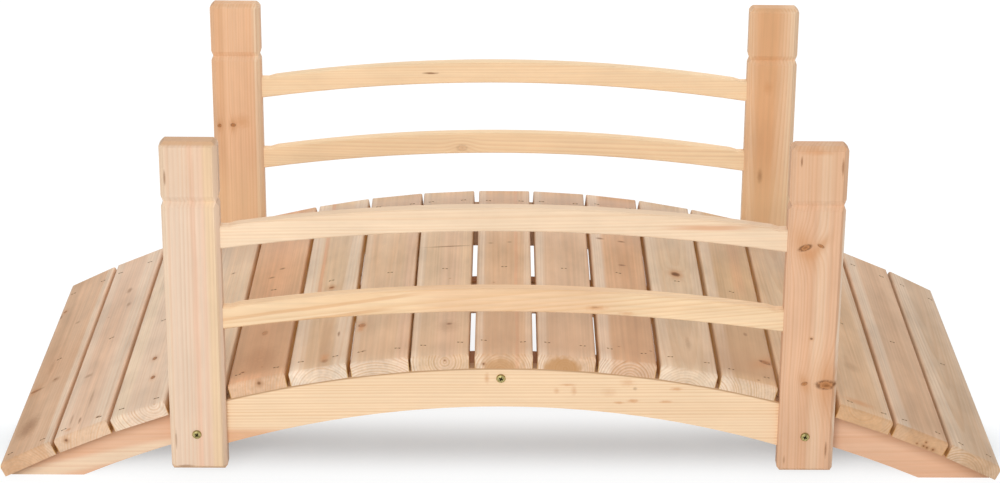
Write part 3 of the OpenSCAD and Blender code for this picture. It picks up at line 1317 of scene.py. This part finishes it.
@dataclass
class Understructure:
    """Arched beams and the boards that face them."""

    beams: tuple[str, ...] = ("front_beam", "back_beam", "centre_beam")
    facings: tuple[str, ...] = ("front_arch_board", "back_arch_board")
    screw_drop: float = 16.0 * MM
    screw_slip: float = -4.0 * MM
    sapwood: tuple[Stripe, ...] = (Stripe(68, 12, CREAM, 0.68, 224, end=-470),)
    low_band: tuple[Stripe, ...] = (Stripe(-53, 14, SALMON, 0.7, end=-280),)
    flecks: tuple[Mark, ...] = (
        stain(79, 26, 6.0, 0.9, 0.7), stain(105, 27, 9.0, 0.6, 0.7), stain(95, 36, 2.4, 6.0, 0.9),
        stain(-25, 46, 11.0, 0.4, 0.8), stain(193, 10, 4.0, 3.0, 1.1), stain(172, 7, 3.0, 3.0),
        stain(157, 24, 9.0, 1.4, 0.4), stain(185, 40, 7.0, 2.0, 0.6), stain(243, 9, 3.0, 4.0),
        stain(258, 30, 3.6, 3.0), smudge(196, 30, 3.0, 1.2, 0.5),
    )

    def under(self, deck: Deck, node: str) -> tuple[float, float]:
        """The arc under the planks, as a beam or facing board sees it.

        Args:
            deck: The deck.
            node: The beam or facing board.

        Returns:
            The arc's radius, and how high the board's middle is above the arc's centre, in millimetres.
        """
        low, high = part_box(node)
        lift = (low.z + high.z) / 2 - deck.centre_height()
        return (deck.radius - deck.thickness) / MM, lift / MM

    def boards(self, deck: Deck) -> list[Board]:
        """The three beams and the two facing boards.

        Args:
            deck: The deck that lies on them.

        Returns:
            The boards.
        """
        made = []
        under = self.under(deck, self.beams[0])
        # Painted shadow under the planks on each beam: a broad dim band and a dark line right below them.
        shades = (
            UnderDeckShade(DIM_SHADE_BROWN, 0.52, *under, 25.0, 3.0),
            UnderDeckShade(SHADE_BROWN, 0.8, *under, 4.0, 1.0),
        )
        for k, node in enumerate(self.beams):
            cut = Cut(60.0, 60.0 - 30 * k, 10.0, 20.0, 12.0, 41.0 + k)
            look = BoardLook(BEAM_PINE, cut, self.sapwood, tints=shades)
            made.append(whole_board(node, Grain.ALONG_X, look))
        # Painted contact shadow on the facing boards, just under the plank ends.
        contact_shadow = (UnderDeckShade(CONTACT_SHADOW_BROWN, 0.65, *self.under(deck, self.facings[0]), 3.2, 1.0),)
        for k, node in enumerate(self.facings):
            cut = Cut(190.0, 40.0, 6.0, 10.0, 5.0, 51.0 + k)
            look = BoardLook(BOARD_PINE, cut, self.low_band, self.flecks, contact_shadow)
            made.append(whole_board(node, Grain.ALONG_X, look))
        return made

    def screw_places(self) -> dict[str, Matrix]:
        """Where a screw goes through the crown of each facing board.

        Returns:
            Placing matrices by the screws' names.
        """
        return {
            f"{node}_screw": screw_place(node, self.screw_slip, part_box(node)[1].z - self.screw_drop)
            for node in self.facings
        }


POST_END = srgb("#D2A67E")
BEIGE = srgb("#E3CBB4")
HONEY = srgb("#F0CFA2")
POST_LOOKS: dict[str, BoardLook] = {
    "front_left_post": BoardLook(
        Timber(srgb("#EACBB1"), 5.5, 0.46, 0.4, 0.26, 0.24, 0.3, POST_END, 0.8),
        Cut(-170, 70, 8, 0, 7, 61),
        (Stripe(-18, 14, BEIGE, 0.5), Stripe(4, 4, ROSE, 0.75), Stripe(17, 4, ROSE, 0.3),
         Stripe(29, 8, HONEY, 0.6), Stripe(-37, 5, CREAM, 0.4)),
        (smudge(205, -34, 2.0, 7.0, 0.8), smudge(-209, -33, 1.6, 11.0, 0.7),
         smudge(-253, -20, 15, 0.16, 0.7)),
        (Fade(POST_END, 0.2, 140.0, 200.0, 290.0),),
    ),
    "front_right_post": BoardLook(
        Timber(srgb("#E4B693"), 5.0, 0.5, 0.5, 0.26, 0.28, 0.3, POST_END, 0.3),
        Cut(-150, 50, -8, 10, 8, 63),
        (Stripe(10, 10, CREAM, 0.25), Stripe(-38, 5, PALE, 0.12), Stripe(41, 3.5, PALE, 0.75, end=150)),
        (knot(103, -16, 9.6, 0.45, 1.0, -0.35), knot(106, 7, 5.0, 0.45, 1.0, 0.5),
         stain(92, -10, 16, 0.6, 0.5), pin(-41, 0, 2.4, 0.9), knot(-114, -7, 4.6, 0.6, 1.0, -0.3),
         knot(-115.6, 25, 14.0, 0.5),
         smudge(-117, 27, 7.0, 0.4, 0.7), pin(-115.8, 38, 3.4, 0.8), smudge(236, -27, 1.8, 5.0, 0.9),
         smudge(228, 33, 2.2, 7.0, 0.8), stain(250, -4, 34, 0.16, 0.8), smudge(-222, 30, 2.0, 8.0, 0.8),
         smudge(-240, -32, 2.0, 4.0, 0.5)),
        (Fade(POST_END, 0.25, 140.0, 200.0, 290.0),),
    ),
    "back_left_post": BoardLook(
        Timber(srgb("#F0C49E"), 4.5, 0.46, 0.6, 0.26, 0.26, 0.3, POST_END, 0.3),
        Cut(150, -60, 10, 10, 8, 65),
        (Stripe(-28, 10, AMBER, 0.25), Stripe(36, 6, CREAM, 0.6)),
        (knot(46, -8, 4.2, 0.7), knot(45, -31, 3.2, 0.9), stain(52, 8, 16, 1.0, 0.7)),
        # Painted light: a paler honey tone towards the post's foot.
        (Fade(HONEY, 0.35, 20.0, -110.0),),
    ),
    "back_right_post": BoardLook(
        Timber(srgb("#F0CAA5"), 4.5, 0.48, 0.4, 0.26, 0.26, 0.3, POST_END, 0.3),
        Cut(-6, -46, -8, 40, 10, 67),
        (Stripe(-8, 20, AMBER, 0.65, 0, 0.9), Stripe(34, 8, CREAM, 0.4)),
        (smudge(-40, -14, 5, 3.0, 0.5), stain(120, -6, 10, 1.4, 0.6)),
        # Painted light: a paler honey tone towards the post's foot.
        (Fade(HONEY, 0.4, 20.0, -110.0),),
    ),
}
BACK_PINE = Timber(srgb("#FCDFB8"), 4.0, 0.5, 0.3, 0.2, 0.26)
RAIL_LOOKS: dict[str, BoardLook] = {
    "front_upper_rail": BoardLook(
        Timber(srgb("#F3D6B6"), 4.0, 0.44, 0.3, 0.22, 0.28),
        Cut(70, 50, 14, 10, 8, 71),
        (Stripe(4.5, 4, SALMON, 0.7, start=250, end=350), Stripe(-14, 1.6, AMBER, 0.4, start=-60, end=140)),
    ),
    "front_lower_rail": BoardLook(
        Timber(srgb("#F5D4AC"), 5.0, 0.54, 0.4, 0.24, 0.28),
        Cut(40, 36, 90, 10, 9, 72),
        (Stripe(26, 3, AMBER, 0.5, 150, end=-170), Stripe(44, 3, AMBER, 0.45, 150, end=-130),
         Stripe(6, 2.5, AMBER, 0.5, 110, end=-230), Stripe(8, 30, SALMON, 0.25, start=-120, end=160)),
        (stain(136, 4, 5.0, 4.0, 0.9), smudge(134, 5, 2.0, 4.0, 0.4), stain(180, -4, 3.0, 5.0, 0.8)),
    ),
    "back_upper_rail": BoardLook(
        BACK_PINE, Cut(90, 50, 10, 10, 8, 73), marks=(smudge(-126, 13, 2.2, 7.0, 1.0),)
    ),
    "back_lower_rail": BoardLook(
        BACK_PINE, Cut(60, 50, -30, 10, 8, 74), marks=(knot(-73, 6, 6.0, 1.5, 0.2),)
    ),
}


@dataclass
class Railing:
    """Posts and curved rails along both sides."""

    screw_height: float = 57.0 * MM
    screw_slip: float = -2.0 * MM
    screw_seed: int = 5
    screw: Screw = field(default_factory=Screw)

    def boards(self) -> list[Board]:
        """The four posts and the four rails.

        Returns:
            The boards.
        """
        groups = ((Grain.ALONG_Z, POST_LOOKS), (Grain.ALONG_X, RAIL_LOOKS))
        return [whole_board(node, grain, look) for grain, looks in groups for node, look in looks.items()]

    def screw_places(self) -> dict[str, Matrix]:
        """Where a screw goes through the foot of each post.

        Returns:
            Placing matrices by the screws' names.
        """
        places = {}
        for node in POST_LOOKS:
            low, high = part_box(node)
            middle = (low.x + high.x) / 2 + self.screw_slip
            places[f"{node}_screw"] = screw_place(node, middle, low.z + self.screw_height)
        return places

    def fix(self, places: dict[str, Matrix]) -> None:
        """Drive a screw at each place.

        Args:
            places: Placing matrices by the screws' names.
        """
        finishes = [self.screw.finish.material(), self.screw.recess_shade.material()]
        shape = self.screw.shape()
        chance = random.Random(self.screw_seed)
        for name, place in places.items():
            bm = bmesh.new()
            bm.from_mesh(shape)
            for face in bm.faces:
                # Faces inside the recess take the painted-shade finish.
                face.material_index = int(self.screw.in_recess(face.calc_center_median()))
            turn = Matrix.Rotation(chance.uniform(0.0, math.pi / 2), 4, "Z")
            bmesh.ops.transform(bm, matrix=place @ turn, verts=bm.verts)
            finish_piece(name, bm, finishes)


@dataclass
class Studio:
    """Floor, lights and camera."""

    frame_width: int = 1000
    focal_pixels: float = 2657.5
    axis_pixel: float = 575.0
    sensor: float = 36.0
    eye: tuple[float, float, float] = (-0.0055, -3.9679, 1.7942)
    pitch: float = math.radians(21.224)
    yaw: float = math.radians(-1.7175)
    roll: float = math.radians(0.968)
    floor_size: float = 40.0
    floor_tone: Colour = (0.82, 0.875, 0.91)
    floor_glow: float = 1.12
    glow_share: float = 0.8
    shade_share: float = 0.46
    shade_line: float = -0.225
    shade_reach: float = 0.12
    shade_ends: tuple[float, float] = (0.64, 1.0)
    sky_strength: float = 0.5
    aim: tuple[float, float, float] = (0.0, 0.0, 0.25)

    def camera(self) -> None:
        """Set the camera at the photograph's place."""
        data = bpy.data.cameras.new("view")
        data.sensor_width = self.sensor
        data.lens = self.focal_pixels * self.sensor / self.frame_width
        data.shift_x = 0.5 - self.axis_pixel / self.frame_width
        data.clip_end = 100.0
        view = put("view", data)
        turn = Matrix.Rotation(self.yaw, 4, "Z") @ Matrix.Rotation(math.pi / 2 - self.pitch, 4, "X")
        view.matrix_world = Matrix.Translation(self.eye) @ turn @ Matrix.Rotation(self.roll, 4, "Z")
        bpy.context.scene.camera = view

    def floor(self) -> None:
        """Lay a white floor that still takes the bridge's shadow, most of it under the front half."""
        bm = bmesh.new()
        bmesh.ops.create_grid(bm, x_segments=1, y_segments=1, size=self.floor_size / 2)
        mesh = to_mesh("floor", bm)
        g = Graph("studio_floor")
        rays = ("Is Camera Ray", "Is Glossy Ray", "Is Transmission Ray")
        camera, glossy, through = (g.node("ShaderNodeLightPath", {}, {}, ray) for ray in rays)
        seen = camera + glossy + through
        along, depth, _ = g.split(g.place())
        dim = abs(depth - self.shade_line).fall(0.0, self.shade_reach) * abs(along).fall(*self.shade_ends)
        lit = dim * -self.shade_share + self.glow_share
        matt = g.node("ShaderNodeBsdfDiffuse", {}, {"Color": self.floor_tone})
        glow = g.node("ShaderNodeEmission", {}, {"Color": (1.0, 1.0, 1.0), "Strength": self.floor_glow})
        mixed = g.node("ShaderNodeMixShader", {}, {0: seen * lit, 1: matt, 2: glow})
        mesh.materials.append(g.surface(mixed))
        ground = put("floor", mesh)

    def sky(self) -> None:
        """Even white light from all round."""
        world = bpy.data.worlds.new("studio")
        bpy.context.scene.world = world
        world.use_nodes = True
        back = world.node_tree.nodes["Background"]
        back.inputs["Color"].default_value = (1.0, 1.0, 1.0, 1.0)
        back.inputs["Strength"].default_value = self.sky_strength

    def lamp(self, name: str, spot: tuple[float, float, float], size: float, watts: float) -> None:
        """Hang one square soft box that faces the bridge.

        Args:
            name: Name of the lamp.
            spot: Where it hangs.
            size: Length of its sides.
            watts: Its power.
        """
        data = bpy.data.lights.new(name, "AREA")
        data.shape = "SQUARE"
        data.size = size
        data.energy = watts
        lamp = put(name, data)
        aim = (Vector(self.aim) - Vector(spot)).to_track_quat("-Z", "Y")
        lamp.matrix_world = Matrix.Translation(spot) @ aim.to_matrix().to_4x4()

    def build(self) -> None:
        """Set the whole studio."""
        self.camera()
        self.floor()
        self.sky()
        self.lamp("key", (-1.5, -7.0, 2.8), 3.4, 270.0)
        self.lamp("overhead", (0.5, 2.4, 3.4), 3.0, 68.0)
        bpy.context.scene.view_settings.view_transform = "Standard"


def main(frame: dict[str, Any]) -> None:
    """Dress the bridge and set its studio.
    """
    logging.basicConfig(level=logging.INFO, format="%(name)s: %(message)s")
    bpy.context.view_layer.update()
    deck = Deck()
    below = Understructure()
    railing = Railing()
    for board in [*deck.boards(), *below.boards(deck), *railing.boards()]:
        board.dress(frame["nodes"])
    deck.fix()
    railing.fix({**railing.screw_places(), **below.screw_places()})
    Studio().build()


if __name__ == "__main__":
    main(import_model())
